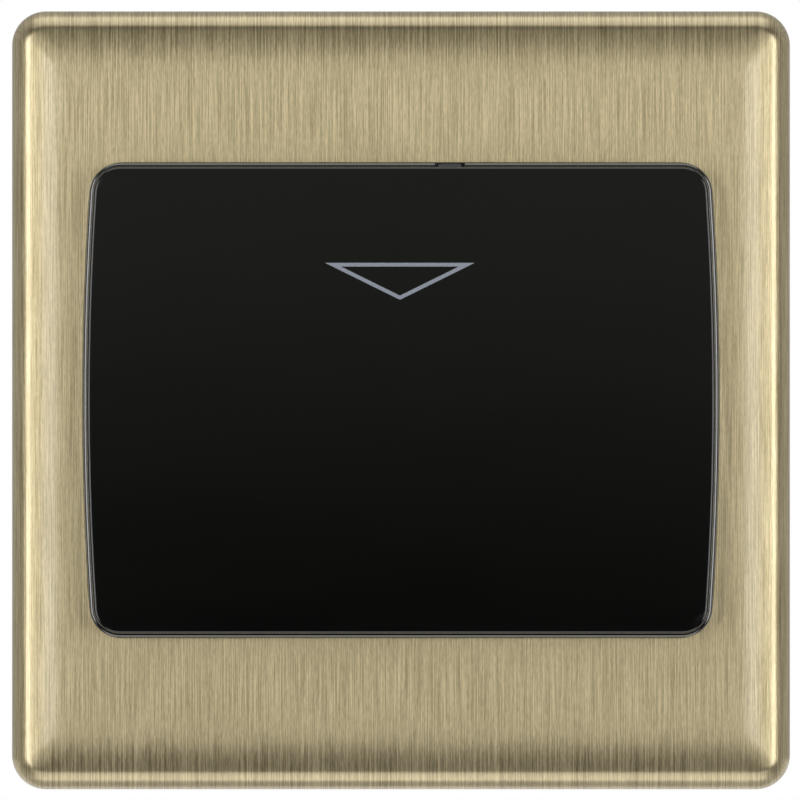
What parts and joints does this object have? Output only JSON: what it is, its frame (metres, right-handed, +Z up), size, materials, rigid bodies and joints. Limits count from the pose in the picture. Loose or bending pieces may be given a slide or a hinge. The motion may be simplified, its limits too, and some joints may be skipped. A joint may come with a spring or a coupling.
{
  "type": "key card switch",
  "caption": "Wall key card switch: brushed brass clip-on plate, black card holder with a top slot, sprung card lever, small switch, relay module and rear terminals.",
  "frame": {"origin": "middle of the switch on the wall plane, at the centre of the two wall fixing slots", "axes": "+X to the viewer's right, -Y towards the viewer, out of the wall, +Z up; the card goes in along -Z"},
  "size_m": [0.086, 0.041, 0.086],
  "materials": {
    "brass_plate": "brushed antique brass, lacquered",
    "gloss_black": "gloss moulded thermoset",
    "black_moulding": "fine moulded texture",
    "plated_steel": "zinc plated",
    "clear_acrylic": "clear moulded acrylic",
    "zinc_steel": "galvanised sheet",
    "board": "solder mask on glass epoxy",
    "relay_shell": "moulded polyester",
    "switch_shell": "moulded phenolic",
    "tinned_metal": "tinned",
    "red_plastic": "moulded",
    "white_nylon": "moulded nylon",
    "spring_steel": "drawn wire",
    "terminal_brass": "drawn and tapped brass",
    "spring_bronze": "phosphor bronze strip",
    "led_lens": "clear epoxy lens",
    "film_shell": "moulded box",
    "can_sleeve": "shrunk sleeve",
    "varistor_coat": "dipped epoxy",
    "resistor_coat": "lacquer",
    "chip_epoxy": "moulded epoxy"
  },
  "bodies": {
    "switch_unit": {"front_plate": "brass_plate", "clip_frame": "black_moulding", "card_guide": "gloss_black", "card_cover": "gloss_black", "cover_screws": "plated_steel", "light_pipe": "clear_acrylic", "grid_frame": "zinc_steel", "module_cover": "black_moulding", "module_screws": "plated_steel", "rear_housing": "black_moulding", "circuit_board": "board", "board_screws": "plated_steel", "relay": "relay_shell", "microswitch_body": "switch_shell", "microswitch_pins": "tinned_metal", "lever_pin": "plated_steel", "lever_spring": "spring_steel", "line_terminal": "terminal_brass", "neutral_terminal": "terminal_brass", "load_terminal": "terminal_brass", "terminal_screws": "plated_steel", "earth_terminal": "terminal_brass", "earth_screw": "plated_steel", "earth_rivet": "terminal_brass", "earth_spring": "spring_bronze", "indicator_led": "led_lens", "film_capacitor": "film_shell", "storage_capacitor": "can_sleeve", "varistor": "varistor_coat", "series_resistor": "resistor_coat", "timer_chip": "chip_epoxy"},
    "lever": {"card_lever": "white_nylon"},
    "plunger": {"switch_plunger": "red_plastic"}
  },
  "joints": [
    {"name": "card_lever_turn", "type": "hinge", "parent": "switch_unit", "child": "lever", "pos_m": [0, -0.0002, 0.004], "axis": [1, 0, 0], "range_deg": [0, 12], "stiffness_Nm_per_rad": 0.006, "springref_deg": -20.05, "deforming": ["lever_spring"]},
    {"name": "plunger_slide", "type": "slide", "parent": "switch_unit", "child": "plunger", "axis": [0, 1, 0], "range_m": [0, 0.0013]}
  ],
  "couplings": [
    {"joint": "plunger_slide", "follows": "card_lever_turn", "m_per_rad": 0.006}
  ]
}
